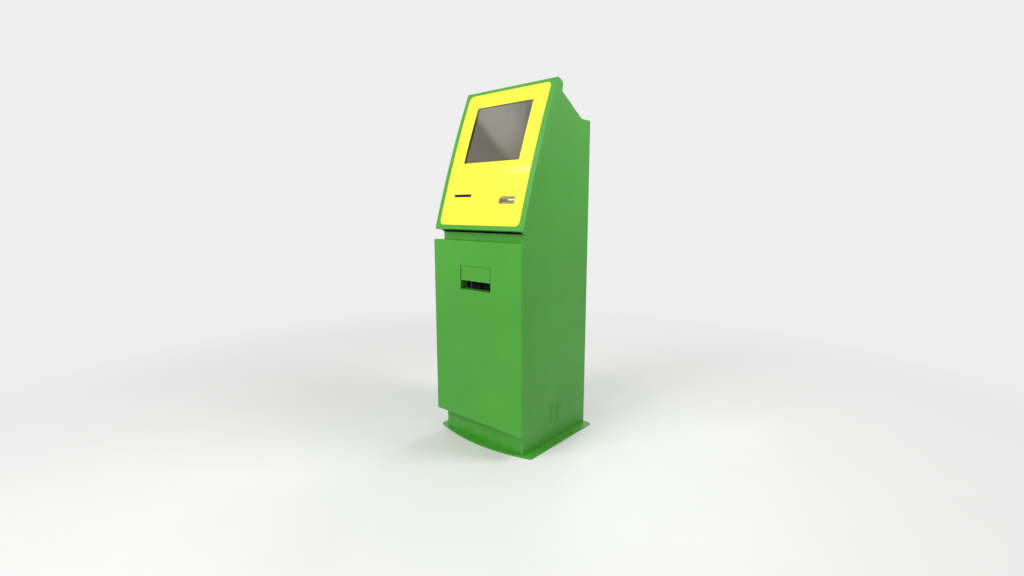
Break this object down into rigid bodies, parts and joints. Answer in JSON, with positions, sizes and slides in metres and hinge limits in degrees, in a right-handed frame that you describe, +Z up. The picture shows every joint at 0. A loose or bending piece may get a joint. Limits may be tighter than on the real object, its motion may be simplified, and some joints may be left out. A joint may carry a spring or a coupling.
{
  "type": "atm machine",
  "caption": "Floor-standing self-service cash terminal: sheet-metal cabinet, leaning bowed display door, lower door with dispensing hatch, bow-fronted base plate.",
  "frame": {"origin": "middle of the base plate's footprint, on its underside", "axes": "+Z up, the front with the display faces -Y, +X to the right seen from the front"},
  "size_m": [0.566, 0.5289, 1.6],
  "materials": {
    "green_paint": "fine textured powder coat",
    "yellow_overlay": "satin polycarbonate overlay",
    "zinc_sheet": "zinc-plated sheet",
    "plated_steel": "plated steel",
    "dark_frame": "black powder coat",
    "dark_plastic": "moulded black plastic",
    "olive_plastic": "moulded grey-olive plastic",
    "light_bar": "lit diffuser",
    "touch_glass": "dark glossy glass",
    "roller_rubber": "black rubber",
    "paper": "thermal paper",
    "aluminium_case": "brushed case",
    "red_plastic": "red rocker"
  },
  "bodies": {
    "cabinet": {"base_plate": "green_paint", "side_panel_left": "green_paint", "side_panel_right": "green_paint", "rear_panel": "green_paint", "roof_panel": "green_paint", "kick_plate": "green_paint", "front_crossmember": "green_paint", "equipment_shelf": "zinc_sheet", "shelf_rails": "zinc_sheet", "cabinet_screws": "plated_steel", "hinge_frame_leaves": "plated_steel", "lock_barrels": "plated_steel", "dispenser_stand": "dark_frame", "dispenser_chassis": "zinc_sheet", "presenter_frame": "zinc_sheet", "computer_case": "dark_plastic", "power_box": "aluminium_case", "exhaust_fan_frame": "dark_plastic", "cable_gland": "dark_plastic"},
    "lower_door": {"lower_door_shell": "green_paint", "lower_door_back": "zinc_sheet", "hatch_tunnel": "green_paint", "flap_pin": "plated_steel", "lower_hinge_leaves": "plated_steel", "lower_hinge_pins": "plated_steel", "lower_strike": "plated_steel"},
    "flap": {"hatch_flap": "green_paint"},
    "display_door": {"display_door_shell": "green_paint", "fascia_overlay": "yellow_overlay", "touch_glass": "touch_glass", "lcd_panel": "dark_plastic", "screen_bracket": "zinc_sheet", "display_hinge_leaves": "plated_steel", "display_hinge_pins": "plated_steel", "display_strike": "plated_steel", "receipt_bezel": "dark_plastic", "printer_body": "dark_plastic", "paper_cradle": "zinc_sheet", "validator_bezel": "olive_plastic", "validator_light": "light_bar", "validator_head": "dark_plastic"},
    "stacker": {"stacker_cassette": "dark_plastic", "stacker_handle": "plated_steel"},
    "platen": {"platen_roller": "roller_rubber"},
    "paper": {"paper_roll": "paper"},
    "lower_cam": {"lower_lock_cam": "plated_steel"},
    "display_cam": {"display_lock_cam": "plated_steel"},
    "cassette_1": {"cash_cassette_1": "dark_plastic", "cassette_handle_1": "plated_steel"},
    "cassette_2": {"cash_cassette_2": "dark_plastic", "cassette_handle_2": "plated_steel"},
    "cassette_3": {"cash_cassette_3": "dark_plastic", "cassette_handle_3": "plated_steel"},
    "roller_upper": {"presenter_roller_upper": "roller_rubber"},
    "roller_lower": {"presenter_roller_lower": "roller_rubber"},
    "computer_fan": {"computer_fan": "dark_plastic"},
    "exhaust_fan": {"exhaust_fan_rotor": "dark_plastic"},
    "switch": {"power_switch": "red_plastic"}
  },
  "joints": [
    {"name": "lower_door_hinge", "type": "hinge", "parent": "cabinet", "child": "lower_door", "pos_m": [0.25125, -0.2215, 0.266], "axis": [0, 0, 1], "range_deg": [0, 95]},
    {"name": "hatch_flap_hinge", "type": "hinge", "parent": "lower_door", "child": "flap", "pos_m": [0, -0.2503, 0.8065], "axis": [1, 0, 0], "range_deg": [0, 50], "stiffness_Nm_per_rad": 0.1, "springref_deg": -20.05},
    {"name": "display_door_hinge", "type": "hinge", "parent": "cabinet", "child": "display_door", "pos_m": [0.25125, -0.21003, 1.05431], "axis": [0, 0.3384, 0.941], "range_deg": [0, 95]},
    {"name": "stacker_slide", "type": "slide", "parent": "display_door", "child": "stacker", "axis": [0, 0.3037, 0.9528], "range_m": [0, 0.08]},
    {"name": "paper_roll_spin", "type": "hinge", "parent": "display_door", "child": "paper", "pos_m": [-0.122, -0.06238, 1.0723], "axis": [1, 0, 0], "continuous": true},
    {"name": "platen_spin", "type": "hinge", "parent": "display_door", "child": "platen", "pos_m": [-0.122, -0.1867, 1.10386], "axis": [1, 0, 0], "continuous": true},
    {"name": "lower_lock_turn", "type": "hinge", "parent": "cabinet", "child": "lower_cam", "pos_m": [-0.23, -0.1775, 0.486], "axis": [-1, 0, 0], "range_deg": [0, 90]},
    {"name": "display_lock_turn", "type": "hinge", "parent": "cabinet", "child": "display_cam", "pos_m": [-0.23, -0.08707, 1.2662], "axis": [-1, 0, 0], "range_deg": [0, 90]},
    {"name": "cassette_1_slide", "type": "slide", "parent": "cabinet", "child": "cassette_1", "axis": [0, -1, 0], "range_m": [0, 0.04]},
    {"name": "cassette_2_slide", "type": "slide", "parent": "cabinet", "child": "cassette_2", "axis": [0, -1, 0], "range_m": [0, 0.04]},
    {"name": "cassette_3_slide", "type": "slide", "parent": "cabinet", "child": "cassette_3", "axis": [0, -1, 0], "range_m": [0, 0.04]},
    {"name": "roller_upper_spin", "type": "hinge", "parent": "cabinet", "child": "roller_upper", "pos_m": [0, -0.1715, 0.7369], "axis": [1, 0, 0], "continuous": true},
    {"name": "roller_lower_spin", "type": "hinge", "parent": "cabinet", "child": "roller_lower", "pos_m": [0, -0.1715, 0.7119], "axis": [1, 0, 0], "continuous": true},
    {"name": "computer_fan_spin", "type": "hinge", "parent": "cabinet", "child": "computer_fan", "pos_m": [0.14, 0.0555, 0.9355], "axis": [0, 1, 0], "continuous": true},
    {"name": "exhaust_fan_spin", "type": "hinge", "parent": "cabinet", "child": "exhaust_fan", "pos_m": [0, 0.2485, 1.256], "axis": [0, 1, 0], "continuous": true},
    {"name": "switch_rock", "type": "hinge", "parent": "cabinet", "child": "switch", "pos_m": [-0.172, 0.0835, 0.938], "axis": [1, 0, 0], "range_deg": [0, 16]}
  ],
  "couplings": [
    {"joint": "roller_lower_spin", "follows": "roller_upper_spin", "ratio": -1},
    {"joint": "platen_spin", "follows": "paper_roll_spin", "ratio": 4.875}
  ]
}
